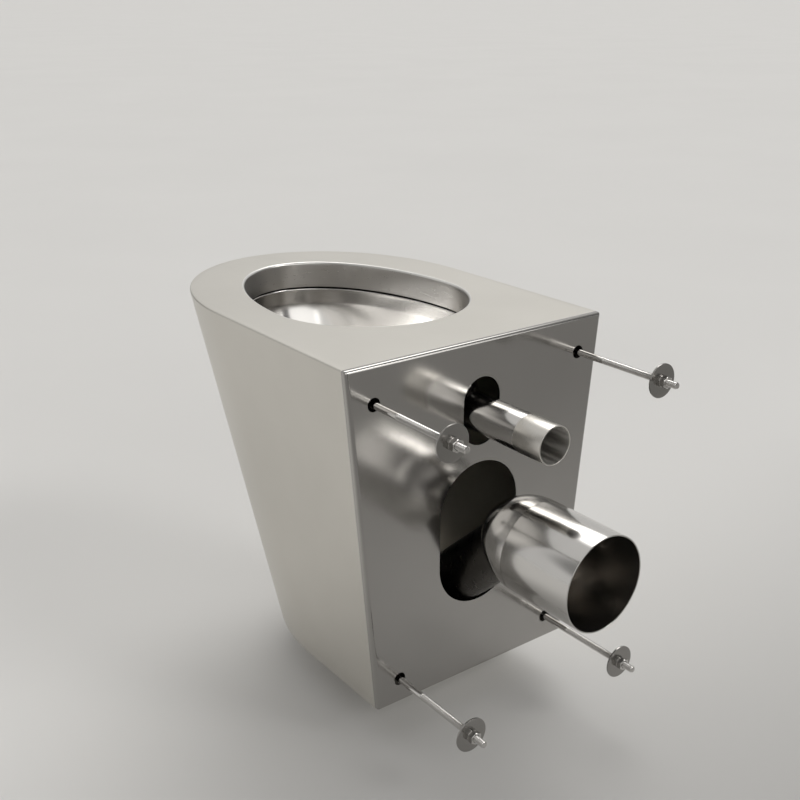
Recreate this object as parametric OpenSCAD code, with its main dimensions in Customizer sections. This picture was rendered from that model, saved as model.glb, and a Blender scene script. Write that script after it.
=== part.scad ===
// Wall-hung stainless steel toilet pan, seen with its wall side towards +Y.
// The wall face is the plane y = 0, the pan stands out towards -Y and +Z is up.
// The origin is on the wall face, midway between the two pipe cut-outs.
// Inside the modules heights are counted from the top of the deck, which is z = 0 there.

/* [Body] */
// Width of the deck and of the back plate's top edge
pan_w = 370; // [340:2:400]
// Height from the underside to the top of the deck
pan_h = 424; // [400:2:450]
// Width of the underside and of the back plate's bottom edge
foot_w = 292; // [270:2:310]
// Length of the deck's straight sides, from the wall face
side_run = 275; // [262:1:290]
// Length of the deck's half-oval nose, beyond the straight sides
nose_run = 232; // [225:1:250]
// Length of the underside's straight sides, from the wall face
foot_side_run = 150; // [140:1:170]
// Length of the underside's half-oval nose
foot_nose_run = 195; // [185:1:210]
// Thickness of the sheet of the body, deck, back plate and base
sheet_t = 2; // [1.5:0.1:2.5]
// Outside radius of the folded edge round the back plate
edge_r = 4; // [3:0.5:5]
// Depth of the folded edge round the back plate
fold_depth = 7; // [6:0.5:9]

/* [Mouth and rim] */
// Width of the mouth in the deck
mouth_w = 254; // [240:2:262]
// Distance from the wall face to the back of the mouth
mouth_back = 95; // [90:1:105]
// Length of the mouth in front of its widest line
mouth_nose = 215; // [205:1:222]
// Depth of the turned-down collar below the deck's top
collar_drop = 35.5; // [30:0.5:42]
// Thickness of the pressed collar, bowl and rim channel
press_t = 1.5; // [1.2:0.1:2]
// Radius at the top of the collar, where the deck turns down
lip_r = 3; // [2.5:0.5:4]
// Height of the flushing slot between the collar and the bowl
rim_slot = 2.5; // [2:0.5:5]
// Width of the water channel behind the collar
channel_w = 20; // [16:1:24]
// Step from the collar's face out to the bowl's lip
bowl_step = 2; // [1.6:0.2:3]
// Height of the bowl's straight upper part, below its flange
bowl_skirt = 20; // [12:1:28]
// Power of the curve below it: 1 is a straight slope and 2 a plain quarter oval
bowl_curve = 1.35; // [1.2:0.05:1.8]

/* [Flush pipe] */
// Diameter of the flush pipe's end sleeve, which the flush valve's pipe joins
flush_d = 45; // [40:0.5:48]
// Difference between the sleeve's diameter and the pipe's
sleeve_step = 0.6; // [0.4:0.1:1]
// Wall of the flush pipe and its sleeve
flush_wall = 1.5; // [1:0.1:2]
// Distance of the flush pipe's axis below the deck
flush_drop = 87; // [85:1:92]
// Distance that the flush pipe stands out from the wall face
flush_reach = 117.5; // [100:0.5:140]
// Length of the flush pipe's end sleeve
sleeve_len = 42; // [30:1:50]
// Radius of the flush bend's centre line
flush_bend_r = 30; // [28:1:32]
// Distance of the flush riser's axis behind the wall face
riser_back = 44; // [42:1:46]
// Room round the riser inside the flush box
box_room = 8; // [6:1:9]

/* [Waste pipe and trap] */
// Diameter of the waste pipe
waste_d = 110; // [104:0.5:112]
// Wall of the waste pipe
waste_wall = 1.5; // [1:0.1:2.5]
// Distance of the waste pipe's axis below the deck
waste_drop = 215; // [213:1:220]
// Distance that the waste pipe stands out from the wall face
waste_reach = 199; // [180:1:230]
// Distance of the welded seam on the waste pipe from the wall face
seam_out = 100; // [96:1:110]
// Distance from the wall face where the waste bend starts to turn
turn_out = 92; // [90:1:94]
// Radius of the waste bend's centre line
turn_r = 62; // [58:1:66]
// Power of the waste bend's narrowing along its turn: 1 is even
narrow_power = 1.2; // [1:0.1:1.6]
// Slope of the trap's rising leg
leg_slope = 42; // [40:0.5:43]
// Diameter of the trap's tube
trap_d = 68; // [64:1:70]
// Wall of the trap's tube
trap_wall = 1.5; // [1:0.1:2]
// Radius of the centre line of the trap's bottom bend
trap_bend_r = 55; // [48:1:60]
// Gap between the trap and the base plate
trap_lift = 8; // [5:1:12]
// Height of the throat between the bowl and the trap
throat_h = 22; // [15:1:30]

/* [Cut-outs in the back plate] */
// Width of the flush pipe's cut-out
flush_slot_w = 53; // [50:1:58]
// Height of the flush pipe's cut-out
flush_slot_h = 82; // [76:1:86]
// Distance of its middle below the deck
flush_slot_drop = 84; // [82:1:86]
// Width of the waste pipe's cut-out
waste_slot_w = 116; // [114:1:130]
// Height of the waste pipe's cut-out
waste_slot_h = 180; // [178:1:190]
// Distance of its middle below the deck
waste_slot_drop = 236; // [234:1:238]

/* [Wall studs] */
// Distance of each upper stud in from the side of the deck
upper_stud_inset = 36; // [34:1:42]
// Distance of the upper pair below the deck
upper_stud_drop = 43; // [40:1:50]
// Distance of each lower stud in from the side of the underside
lower_stud_inset = 30.5; // [29:0.5:36]
// Distance of the lower pair above the underside
lower_stud_lift = 32; // [30:1:40]
// Thread diameter of the studs
stud_d = 8; // [8:0.5:10]
// Distance that the studs stand out from the wall face
stud_reach = 151; // [140:1:170]
// Chamfer on the end of each stud
stud_chamfer = 1; // [0.5:0.1:1.2]
// Distance from the wall face to the inner face of each large washer
washer_out = 127.5; // [110:0.5:129]
// Diameter of the large washers
washer_d = 40; // [36:1:44]
// Thickness of the large washers
washer_t = 2; // [1.5:0.1:2.5]
// Outside diameter of the spring washers
spring_washer_d = 13.6; // [13:0.1:14]
// Thickness of the spring washers
spring_washer_t = 1.6; // [1.4:0.1:2.2]
// Width of the cut through each spring washer
spring_washer_cut = 1.2; // [1:0.1:2]
// Width across the flats of the nuts
nut_flats = 13; // [13:0.5:16]
// Thickness of the nuts
nut_t = 6.5; // [6:0.1:8]
// Diameter of the stud holes in the back plate
stud_hole_d = 16; // [14:0.5:18]
// Width of the stud brackets inside the back plate
bracket_w = 44; // [40:1:46]
// Height of the stud brackets
bracket_h = 34; // [30:1:36]
// Depth of the stud brackets
bracket_depth = 26; // [22:1:30]
// Thickness of the stud brackets
bracket_t = 3; // [2.5:0.5:4]

/* [Fits] */
// Radial clearance of a nut on its stud
thread_gap = 0.08; // [0.05:0.01:0.1]
// Radial clearance of a washer on its stud
washer_gap = 0.3; // [0.2:0.05:0.4]
// Gap at a seam that is closed by welding
weld_gap = 0.2; // [0.1:0.05:0.3]

/* [Hidden] */
$fn = 72;

// Overrun of every cut past the face that it goes through
overrun = 3;
// Steps round a half-oval nose, round the mouth and round a swept tube
nose_steps = 48;
mouth_steps = 64;
tube_steps = 40;
// Steps down the bowl, along the waste bend, round the collar's top and round the fold
bowl_steps = 12;
turn_steps = 12;
lip_steps = 4;
edge_steps = 8;

// The mouth's widest line lies where its round back meets its longer nose
mouth_mid = -mouth_back - mouth_w / 2;
bowl_top = -collar_drop - rim_slot;
foot_z = -pan_h;
base_top = foot_z + sheet_t;
// Lean of the casing's sides
body_lean = atan((pan_w - foot_w) / 2 / pan_h);
// Height of the origin below the deck, midway between the two cut-outs
flush_slot_foot = flush_slot_drop + flush_slot_h / 2;
waste_slot_head = waste_slot_drop - waste_slot_h / 2;
origin_drop = (flush_slot_foot + waste_slot_head) / 2;

// The trap, worked out in the plane x = 0 as [y, z]
trap_r = trap_d / 2;
turn_end = [turn_out - turn_r * sin(leg_slope), -waste_drop - turn_r * (1 - cos(leg_slope))];
leg_foot_z = base_top + trap_lift + trap_r + trap_bend_r * (1 - cos(leg_slope));
leg_len = (turn_end[1] - leg_foot_z) / sin(leg_slope);
leg_foot_y = turn_end[0] - leg_len * cos(leg_slope);
trap_hub = [leg_foot_y - trap_bend_r * sin(leg_slope), leg_foot_z + trap_bend_r * cos(leg_slope)];
throat_y = trap_hub[0] - trap_bend_r;
bowl_foot = trap_hub[1] + throat_h;

// The flush pipe, its bend and the box that feeds the rim channel
pipe_r = (flush_d - sleeve_step) / 2;
riser_y = -riser_back;
box_floor = bowl_top - press_t;
box_half = pipe_r + box_room;
channel_step = bowl_step + channel_w;

// The washers and nut on a stud
spring_washer_out = washer_out + washer_t;
nut_out = spring_washer_out + spring_washer_t;
captive_y = -sheet_t - bracket_depth;
nut_corner_r = nut_flats / 2 / cos(30);
nut_chamfer = (nut_corner_r - nut_flats / 2) / 2;

steel = [0.74, 0.73, 0.71];
satin = [0.62, 0.61, 0.59];
polished = [0.82, 0.81, 0.79];

function mix(a, b, share) = a + (b - a) * share;

// Half-width, straight side and nose of the body's outline at a height between foot and deck
function body_share(z) = (z - foot_z) / pan_h;
function body_half(z) = mix(foot_w, pan_w, body_share(z)) / 2;
function body_side(z) = mix(foot_side_run, side_run, body_share(z));
function body_nose(z) = mix(foot_nose_run, nose_run, body_share(z));

// D outline at a height, drawn in by a wall and open or cut off at y = back
function d_outline(z, wall, back) =
    let (half = body_half(z) - wall, side = body_side(z), nose = body_nose(z) - wall)
    concat([[-half, back]],
           [for (k = [0 : nose_steps]) let (a = 180 * k / nose_steps)
               [-half * cos(a), -side - nose * sin(a)]],
           [[half, back]]);

// Egg outline of the mouth, grown by a step: a round back and an oval nose
function egg(step) =
    [for (k = [0 : mouth_steps - 1])
        let (a = 360 * k / mouth_steps, half = mouth_w / 2 + step,
             reach = sin(a) > 0 ? half : mouth_nose + step)
        [half * cos(a), mouth_mid + reach * sin(a)]];

function at_height(outline, z) = [for (p = outline) [p[0], p[1], z]];

// Solid skin over a stack of rings with as many points each, low ring first
module stack(rings) {
    n = len(rings[0]);
    last = len(rings) - 1;
    points = [for (ring = rings) each ring];
    sides = [for (j = [0 : last - 1], k = [0 : n - 1])
        let (a = j * n + k, b = j * n + (k + 1) % n)
        each [[a, a + n, b], [b, a + n, b + n]]];
    foot = [for (k = [0 : n - 1]) k];
    head = [for (k = [n - 1 : -1 : 0]) last * n + k];
    polyhedron(points, concat(sides, [foot, head]));
}

// Closed skin over a loop of rings, such as a pressing with an inner and an outer face
module ring_loop(rings) {
    n = len(rings[0]);
    m = len(rings);
    points = [for (ring = rings) each ring];
    sides = [for (j = [0 : m - 1], k = [0 : n - 1])
        let (a = j * n + k, b = j * n + (k + 1) % n,
             c = ((j + 1) % m) * n + k, d = ((j + 1) % m) * n + (k + 1) % n)
        each [[a, c, b], [b, c, d]]];
    polyhedron(points, sides);
}

// Moves a piece from deck heights to the part's own frame
module from_deck() {
    translate([0, 0, origin_drop]) children();
}

// Turns a piece made along +Z so that it runs along +Y
module along_wall_axis(x, y, z) {
    translate([x, y, z]) rotate([-90, 0, 0]) children();
}

// Straight tube along +Z
module tube(r, wall, h) {
    difference() {
        cylinder(r = r, h = h);
        translate([0, 0, -overrun]) cylinder(r = r - wall, h = h + 2 * overrun);
    }
}

// Tube bent round its centre: it comes down behind, at -Y, and turns past the foot by a slope
module bent_tube(bend_r, r, wall, slope) {
    rotate([0, 90, 0]) rotate([0, 0, -90]) rotate_extrude(angle = 90 + slope)
        translate([bend_r, 0]) difference() {
            circle(r = r);
            circle(r = r - wall);
        }
}

// Upright slot with round ends, cut through the back plate
module upright_slot(w, h, drop) {
    r = w / 2;
    rise = h / 2 - r;
    depth = fold_depth + 2 * overrun;
    for (side = [-1, 1])
        along_wall_axis(0, -fold_depth - overrun, -drop + side * rise)
            cylinder(r = r, h = depth);
    translate([-r, -fold_depth - overrun, -drop - rise]) cube([w, depth, 2 * rise]);
}

// Outline of the back plate's tray at one depth, drawn in from the body's outline
function tray_ring(inset, y) =
    let (head_z = -inset, toe_z = foot_z + inset, lean_in = inset / cos(body_lean),
         head = body_half(head_z) - lean_in, toe = body_half(toe_z) - lean_in)
    [[-toe, y, toe_z], [-head, y, head_z], [head, y, head_z], [toe, y, toe_z]];

// Solid tray with a rounded edge towards the wall, drawn in by a wall
module tray_block(wall, depth) {
    r = edge_r - wall;
    stack(concat([tray_ring(wall, -depth)],
                 [for (k = [0 : edge_steps]) let (a = 90 * k / edge_steps)
                     tray_ring(wall + r * (1 - cos(a)), -edge_r + r * sin(a))]));
}

// Casing: one sheet wrapped from the wall round the nose, leaning in towards the foot
module body_shell() {
    top_z = -sheet_t;
    color(satin) from_deck() difference() {
        stack([at_height(d_outline(foot_z, 0, -fold_depth), foot_z),
               at_height(d_outline(top_z, 0, -fold_depth), top_z)]);
        stack([at_height(d_outline(foot_z - overrun, sheet_t, overrun), foot_z - overrun),
               at_height(d_outline(top_z + overrun, sheet_t, overrun), top_z + overrun)]);
    }
}

// Flat deck with the egg-shaped mouth
module top_deck() {
    color(steel) from_deck() translate([0, 0, -sheet_t]) linear_extrude(sheet_t) difference() {
        polygon(d_outline(0, 0, -fold_depth));
        polygon(egg(lip_r));
    }
}

// Collar pressed down round the mouth: a quarter round at the deck, then a straight band
module rim_collar() {
    face = [for (k = [0 : lip_steps]) let (a = 90 * k / lip_steps)
        at_height(egg(lip_r * (1 - sin(a))), -lip_r * (1 - cos(a)))];
    rear_r = lip_r - press_t;
    rear = [for (k = [lip_steps : -1 : 0]) let (a = 90 * k / lip_steps)
        at_height(egg(lip_r - rear_r * sin(a)), -lip_r + rear_r * cos(a))];
    color(polished) from_deck() ring_loop(concat(
        face,
        [at_height(egg(0), -collar_drop), at_height(egg(press_t), -collar_drop)],
        rear));
}

// Outer wall of the water channel, standing on the bowl's flange under the deck
module rim_channel() {
    h = -sheet_t - bowl_top;
    color(satin) from_deck() difference() {
        translate([0, 0, bowl_top]) linear_extrude(h) difference() {
            polygon(egg(channel_step));
            polygon(egg(channel_step - press_t));
        }
        translate([-box_half + press_t, mouth_mid, bowl_top + press_t])
            cube([2 * (box_half - press_t), mouth_w, h - 2 * press_t]);
    }
}

// Ring of the bowl at a turn of its quarter curve, grown by a step from its inner face
function bowl_ring(turn, step) =
    let (w = pow(cos(turn), 2 / bowl_curve), d = pow(sin(turn), 2 / bowl_curve),
         rim = egg(bowl_step + step), foot_r = trap_r - trap_wall + step,
         z = mix(bowl_top - bowl_skirt, bowl_foot, d) - step * d)
    [for (k = [0 : mouth_steps - 1]) let (a = 360 * k / mouth_steps)
        [mix(foot_r * cos(a), rim[k][0], w), mix(throat_y + foot_r * sin(a), rim[k][1], w), z]];

// Round foot of the bowl's bore, where the throat is welded on
function bowl_foot_ring() =
    [for (k = [0 : mouth_steps - 1]) let (a = 360 * k / mouth_steps, r = trap_r - trap_wall)
        [r * cos(a), throat_y + r * sin(a), bowl_foot - press_t]];

// Bowl: a pressed dish from the flange under the rim down to the round throat. Its upper part
// is straight, and its egg outline turns into the throat's circle along a power curve.
module bowl() {
    inner = [for (k = [0 : bowl_steps]) bowl_ring(90 * k / bowl_steps, 0)];
    outer = [for (k = [bowl_steps : -1 : 0]) bowl_ring(90 * k / bowl_steps, press_t)];
    color(polished) from_deck() ring_loop(concat(
        [at_height(egg(channel_step), bowl_top), at_height(egg(bowl_step), bowl_top)],
        inner,
        [bowl_foot_ring()],
        outer,
        [at_height(egg(bowl_step + press_t), bowl_top - press_t),
         at_height(egg(channel_step), bowl_top - press_t)]));
}

// Back plate: a shallow tray with a rounded edge, two pipe cut-outs and four stud holes
module back_plate() {
    color(satin) from_deck() difference() {
        tray_block(0, fold_depth);
        tray_block(sheet_t, fold_depth + overrun);
        upright_slot(flush_slot_w, flush_slot_h, flush_slot_drop);
        upright_slot(waste_slot_w, waste_slot_h, waste_slot_drop);
        at_each_stud() along_wall_axis(0, -fold_depth - overrun, 0)
            cylinder(d = stud_hole_d, h = fold_depth + 2 * overrun);
    }
}

// Base plate, let into the foot of the casing
module base_plate() {
    inset = sheet_t + weld_gap;
    color(satin) from_deck() translate([0, 0, foot_z]) linear_extrude(sheet_t)
        polygon(d_outline(foot_z, inset, -fold_depth - weld_gap));
}

// Box behind the mouth that takes the flush water from the riser into the channel
module flush_box() {
    h = -sheet_t - box_floor;
    rear = riser_y + box_half;
    color(satin) from_deck() difference() {
        translate([-box_half, mouth_mid, box_floor]) cube([2 * box_half, rear - mouth_mid, h]);
        translate([-box_half + press_t, mouth_mid, bowl_top])
            cube([2 * (box_half - press_t), rear - press_t - mouth_mid, h]);
        translate([0, 0, box_floor - overrun]) linear_extrude(h + 2 * overrun)
            polygon(egg(channel_step));
        translate([0, riser_y, box_floor - overrun])
            cylinder(r = pipe_r + weld_gap, h = press_t + 2 * overrun);
    }
}

// Bend from the level flush pipe up to the riser, which ends in the flush box
module flush_bend() {
    heel_z = -flush_drop + flush_bend_r;
    color(polished) from_deck() {
        translate([0, riser_y + flush_bend_r, heel_z])
            bent_tube(flush_bend_r, pipe_r, flush_wall, 0);
        translate([0, riser_y, heel_z]) tube(pipe_r, flush_wall, bowl_top - heel_z);
    }
}

// Level part of the flush pipe, through the upper cut-out
module flush_pipe() {
    start = riser_y + flush_bend_r;
    color(polished) from_deck() along_wall_axis(0, start, -flush_drop)
        tube(pipe_r, flush_wall, flush_reach - sleeve_len - start);
}

// Sized sleeve on the end of the flush pipe
module flush_sleeve() {
    color(steel) from_deck() along_wall_axis(0, flush_reach - sleeve_len, -flush_drop)
        tube(flush_d / 2, flush_wall, sleeve_len);
}

// Waste pipe from its seam to its free end
module waste_pipe() {
    color(polished) from_deck() along_wall_axis(0, seam_out, -waste_drop)
        tube(waste_d / 2, waste_wall, waste_reach - seam_out);
}

// Ring of the waste bend at a share of its turn; its radius narrows to the trap's
function turn_ring(share, inset) =
    let (a = leg_slope * share,
         r = mix(waste_d / 2, trap_r, pow(share, narrow_power)) - inset,
         y = turn_out - turn_r * sin(a), z = -waste_drop - turn_r * (1 - cos(a)))
    [for (k = [0 : tube_steps - 1]) let (b = 360 * k / tube_steps)
        [r * cos(b), y - r * sin(b) * sin(a), z + r * sin(b) * cos(a)]];

function seam_ring(inset) =
    [for (k = [0 : tube_steps - 1]) let (b = 360 * k / tube_steps, r = waste_d / 2 - inset)
        [r * cos(b), seam_out, -waste_drop + r * sin(b)]];

// Waste bend: turns down behind the seam and narrows to the trap's tube
module waste_bend() {
    outer = concat([seam_ring(0)], [for (k = [0 : turn_steps]) turn_ring(k / turn_steps, 0)]);
    inner = concat([for (k = [turn_steps : -1 : 0]) turn_ring(k / turn_steps, waste_wall)],
                   [seam_ring(waste_wall)]);
    color(polished) from_deck() ring_loop(concat(outer, inner));
}

// Rising leg of the trap
module trap_leg() {
    color(polished) from_deck() translate([0, turn_end[0], turn_end[1]])
        rotate([90 + leg_slope, 0, 0]) tube(trap_r, trap_wall, leg_len);
}

// Bottom bend of the trap, which holds the water seal
module trap_bend() {
    color(polished) from_deck() translate([0, trap_hub[0], trap_hub[1]])
        bent_tube(trap_bend_r, trap_r, trap_wall, leg_slope);
}

// Throat between the bowl and the trap
module throat() {
    color(polished) from_deck() translate([0, throat_y, trap_hub[1]])
        tube(trap_r, trap_wall, throat_h - press_t);
}

// Places of the studs as [side, height], named by how one who faces the wall sees them
function stud_place(left, upper) =
    [(left ? -1 : 1) * (upper ? pan_w / 2 - upper_stud_inset : foot_w / 2 - lower_stud_inset),
     upper ? -upper_stud_drop : foot_z + lower_stud_lift];

module at_stud(left, upper) {
    p = stud_place(left, upper);
    translate([p[0], 0, p[1]]) children();
}

module at_each_stud() {
    for (left = [true, false], upper = [true, false]) at_stud(left, upper) children();
}

// Channel bracket welded inside the back plate, which spreads the load of one stud
module bracket(left, upper) {
    color(satin) from_deck() at_stud(left, upper) translate([0, captive_y, 0]) difference() {
        translate([-bracket_w / 2, 0, -bracket_h / 2]) cube([bracket_w, bracket_depth, bracket_h]);
        translate([-bracket_w / 2 + bracket_t, bracket_t, -bracket_h / 2 - overrun])
            cube([bracket_w - 2 * bracket_t, bracket_depth, bracket_h + 2 * overrun]);
        along_wall_axis(0, -overrun, 0)
            cylinder(r = stud_d / 2 + washer_gap, h = bracket_t + 2 * overrun);
    }
}

// Hexagon nut along +Z with chamfered corners
module hex_nut() {
    difference() {
        intersection() {
            cylinder(r = nut_corner_r, h = nut_t, $fn = 6);
            rotate_extrude() polygon([[0, 0], [nut_corner_r - nut_chamfer, 0],
                                      [nut_corner_r, nut_chamfer / 2],
                                      [nut_corner_r, nut_t - nut_chamfer / 2],
                                      [nut_corner_r - nut_chamfer, nut_t], [0, nut_t]]);
        }
        translate([0, 0, -overrun]) cylinder(r = stud_d / 2 + thread_gap, h = nut_t + 2 * overrun);
    }
}

// Nut welded behind a bracket, into which the stud is screwed
module captive_nut(left, upper) {
    color(steel) from_deck() at_stud(left, upper)
        along_wall_axis(0, captive_y - nut_t, 0) hex_nut();
}

// Stud from its captive nut out through the back plate and the wall
module stud(left, upper) {
    start = captive_y - nut_t;
    h = stud_reach - start;
    r = stud_d / 2;
    color(steel) from_deck() at_stud(left, upper) along_wall_axis(0, start, 0)
        rotate_extrude() polygon([[0, 0], [r - stud_chamfer, 0], [r, stud_chamfer],
                                  [r, h - stud_chamfer], [r - stud_chamfer, h], [0, h]]);
}

// Large washer that bears on the far side of the wall
module washer(left, upper) {
    color(polished) from_deck() at_stud(left, upper) along_wall_axis(0, washer_out, 0)
        tube(washer_d / 2, washer_d / 2 - stud_d / 2 - washer_gap, washer_t);
}

// Split spring washer, its cut at the top
module spring_washer(left, upper) {
    r = spring_washer_d / 2;
    color(steel) from_deck() at_stud(left, upper) difference() {
        along_wall_axis(0, spring_washer_out, 0)
            tube(r, r - stud_d / 2 - washer_gap, spring_washer_t);
        translate([-spring_washer_cut / 2, spring_washer_out - overrun, 0])
            cube([spring_washer_cut, spring_washer_t + 2 * overrun, r + overrun]);
    }
}

// Nut that pulls the pan against the wall
module wall_nut(left, upper) {
    color(polished) from_deck() at_stud(left, upper) along_wall_axis(0, nut_out, 0) hex_nut();
}

body_shell();
top_deck();
rim_collar();
rim_channel();
bowl();
back_plate();
base_plate();
flush_box();
flush_bend();
flush_pipe();
flush_sleeve();
waste_pipe();
waste_bend();
trap_leg();
trap_bend();
throat();
bracket(true, true);  // bracket_upper_left
bracket(false, true);  // bracket_upper_right
bracket(true, false);  // bracket_lower_left
bracket(false, false);  // bracket_lower_right
captive_nut(true, true);  // captive_nut_upper_left
captive_nut(false, true);  // captive_nut_upper_right
captive_nut(true, false);  // captive_nut_lower_left
captive_nut(false, false);  // captive_nut_lower_right
stud(true, true);  // stud_upper_left
stud(false, true);  // stud_upper_right
stud(true, false);  // stud_lower_left
stud(false, false);  // stud_lower_right
washer(true, true);  // washer_upper_left
washer(false, true);  // washer_upper_right
washer(true, false);  // washer_lower_left
washer(false, false);  // washer_lower_right
spring_washer(true, true);  // spring_washer_upper_left
spring_washer(false, true);  // spring_washer_upper_right
spring_washer(true, false);  // spring_washer_lower_left
spring_washer(false, false);  // spring_washer_lower_right
wall_nut(true, true);  // nut_upper_left
wall_nut(false, true);  // nut_upper_right
wall_nut(true, false);  // nut_lower_left
wall_nut(false, false);  // nut_lower_right
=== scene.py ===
"""Wall-hung stainless steel toilet pan, seen from its wall side.

The wall face is the plane y = 0, the pan stands out towards -Y and +Z is up, in metres.
Shapes are worked out in millimetres with heights counted from the top of the deck, as in the
part's source, and put in the part's own frame when they become a mesh.
"""

import math

import bpy
import numpy as np
from mathutils import Matrix, Vector


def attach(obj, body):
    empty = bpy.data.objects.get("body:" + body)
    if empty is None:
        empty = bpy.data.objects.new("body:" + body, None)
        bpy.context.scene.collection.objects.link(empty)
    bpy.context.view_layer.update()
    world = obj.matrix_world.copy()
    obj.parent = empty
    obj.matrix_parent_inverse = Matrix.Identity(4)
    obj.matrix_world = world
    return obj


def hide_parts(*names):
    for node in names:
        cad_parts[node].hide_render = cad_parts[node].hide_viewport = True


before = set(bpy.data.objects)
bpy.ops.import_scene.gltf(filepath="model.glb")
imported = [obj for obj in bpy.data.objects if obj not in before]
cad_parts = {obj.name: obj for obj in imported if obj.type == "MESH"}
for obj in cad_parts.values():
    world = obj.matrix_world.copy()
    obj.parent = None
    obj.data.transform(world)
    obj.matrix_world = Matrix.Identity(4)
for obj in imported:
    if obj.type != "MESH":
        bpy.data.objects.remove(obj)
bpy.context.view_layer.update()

# Lengths in millimetres, the trap's slope in degrees and the power of the bowl's curve, the same
# values as in the part's source
PAN_W, PAN_H, FOOT_W = 370.0, 424.0, 292.0
SIDE_RUN, NOSE_RUN, FOOT_SIDE_RUN, FOOT_NOSE_RUN = 275.0, 232.0, 150.0, 195.0
SHEET, EDGE_R, FOLD = 2.0, 4.0, 7.0
MOUTH_W, MOUTH_BACK, MOUTH_NOSE = 254.0, 95.0, 215.0
COLLAR_DROP, PRESS, LIP_R, RIM_SLOT = 35.5, 1.5, 3.0, 2.5
CHANNEL_W, BOWL_STEP, BOWL_SKIRT, BOWL_CURVE = 20.0, 2.0, 20.0, 1.35
FLUSH_D, SLEEVE_STEP, FLUSH_WALL, FLUSH_DROP = 45.0, 0.6, 1.5, 87.0
FLUSH_REACH, SLEEVE_LEN, FLUSH_BEND_R, RISER_Y = 117.5, 42.0, 30.0, -44.0
WASTE_D, WASTE_WALL, WASTE_DROP, WASTE_REACH = 110.0, 1.5, 215.0, 199.0
SEAM_OUT, TURN_OUT, TURN_R, LEG_DEGREES = 100.0, 92.0, 62.0, 42.0
TRAP_R, TRAP_WALL, TRAP_BEND_R, TRAP_LIFT, THROAT_H = 34.0, 1.5, 55.0, 8.0, 22.0
FLUSH_SLOT_W, FLUSH_SLOT_H, FLUSH_SLOT_DROP = 53.0, 82.0, 84.0
WASTE_SLOT_W, WASTE_SLOT_H, WASTE_SLOT_DROP = 116.0, 180.0, 236.0
STUD_HOLE_R, STUD_R, STUD_REACH, STUD_START = 8.0, 4.0, 151.0, -34.5
WASHER_OUT, WASHER_R, WASHER_T, WASHER_GAP = 127.5, 20.0, 2.0, 0.3
SPRING_R, SPRING_T, SPRING_CUT = 6.8, 1.6, 1.2
NUT_FLATS, NUT_T, THREAD_GAP = 13.0, 6.5, 0.08
# The part's origin lies this far below the top of the deck
ORIGIN_DROP = 135.5

# Lengths in millimetres that only this script draws: rounds on the edges of sheets and tubes,
# the slit at the waste pipe's weld, the thread and the nuts' edges
FOOT_ROUND, DECK_TUCK, COLLAR_ROUND, CORNER_R, EDGE_FLAT = 0.8, 0.5, 0.5, 2.0, 1.5
BOWL_LIP_R, BOWL_FOOT_R, FLANGE_FLAT = 2.0, 4.0, 3.0
WASTE_ROUND, PIPE_ROUND, SLEEVE_ROUND, DISC_ROUND, COIL_ROUND = 0.5, 0.2, 0.4, 0.4, 0.25
WELD_SLIT = 0.8
THREAD_START, THREAD_PITCH, THREAD_DEPTH, THREAD_PLAY, TIP_CUT = 42.0, 1.25, 0.70, 0.02, 1.0
BORE_CUT = 0.5
# A hair's breadth, which keeps apart the points of an edge that stays square
HAIR = 0.02
# Power by which the waste bend narrows. It keeps the bend a few millimetres wider than the
# source does, which looks more like the photograph
BEND_POWER = 2.2

LEG_SLOPE = math.radians(LEG_DEGREES)
MOUTH_MID = -MOUTH_BACK - MOUTH_W / 2
BOWL_TOP = -COLLAR_DROP - RIM_SLOT
FOOT_Z = -PAN_H
LEAN = math.atan((PAN_W - FOOT_W) / 2 / PAN_H)
TURN_END = (TURN_OUT - TURN_R * math.sin(LEG_SLOPE),
            -WASTE_DROP - TURN_R * (1 - math.cos(LEG_SLOPE)))
LEG_FOOT_Z = FOOT_Z + SHEET + TRAP_LIFT + TRAP_R + TRAP_BEND_R * (1 - math.cos(LEG_SLOPE))
LEG_LEN = (TURN_END[1] - LEG_FOOT_Z) / math.sin(LEG_SLOPE)
LEG_FOOT_Y = TURN_END[0] - LEG_LEN * math.cos(LEG_SLOPE)
TRAP_HUB = (LEG_FOOT_Y - TRAP_BEND_R * math.sin(LEG_SLOPE),
            LEG_FOOT_Z + TRAP_BEND_R * math.cos(LEG_SLOPE))
THROAT_Y = TRAP_HUB[0] - TRAP_BEND_R
BOWL_FOOT = TRAP_HUB[1] + THROAT_H
PIPE_R = (FLUSH_D - SLEEVE_STEP) / 2
STUDS = {
    "upper_left": (-149.0, -43.0),
    "upper_right": (149.0, -43.0),
    "lower_left": (-115.5, -392.0),
    "lower_right": (115.5, -392.0),
}


# The camera, at the photograph's viewing angle: degrees, millimetres of lens, and metres

CAMERA_AZIMUTH, CAMERA_ELEVATION, CAMERA_LENS = 143.21, 20.502, 49.62
CAMERA_PLACE = (0.7685, 0.8737, 0.4984)


def place_camera():
    """Camera on the pan's wall side, looking down a little over the right-hand pipes."""
    azimuth, elevation = math.radians(CAMERA_AZIMUTH), math.radians(CAMERA_ELEVATION)
    look = Vector((-math.sin(azimuth) * math.cos(elevation),
                   math.cos(azimuth) * math.cos(elevation), -math.sin(elevation)))
    side = look.cross(Vector((0, 0, 1))).normalized()
    rise = side.cross(look)
    data = bpy.data.cameras.new("camera")
    data.sensor_width, data.lens = 36.0, CAMERA_LENS
    data.clip_start, data.clip_end = 0.01, 200.0
    cam = bpy.data.objects.new("camera", data)
    turn = Matrix((side, rise, -look)).transposed().to_4x4()
    cam.matrix_world = Matrix.Translation(CAMERA_PLACE) @ turn
    bpy.context.scene.collection.objects.link(cam)
    bpy.context.scene.camera = cam


# Materials

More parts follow.
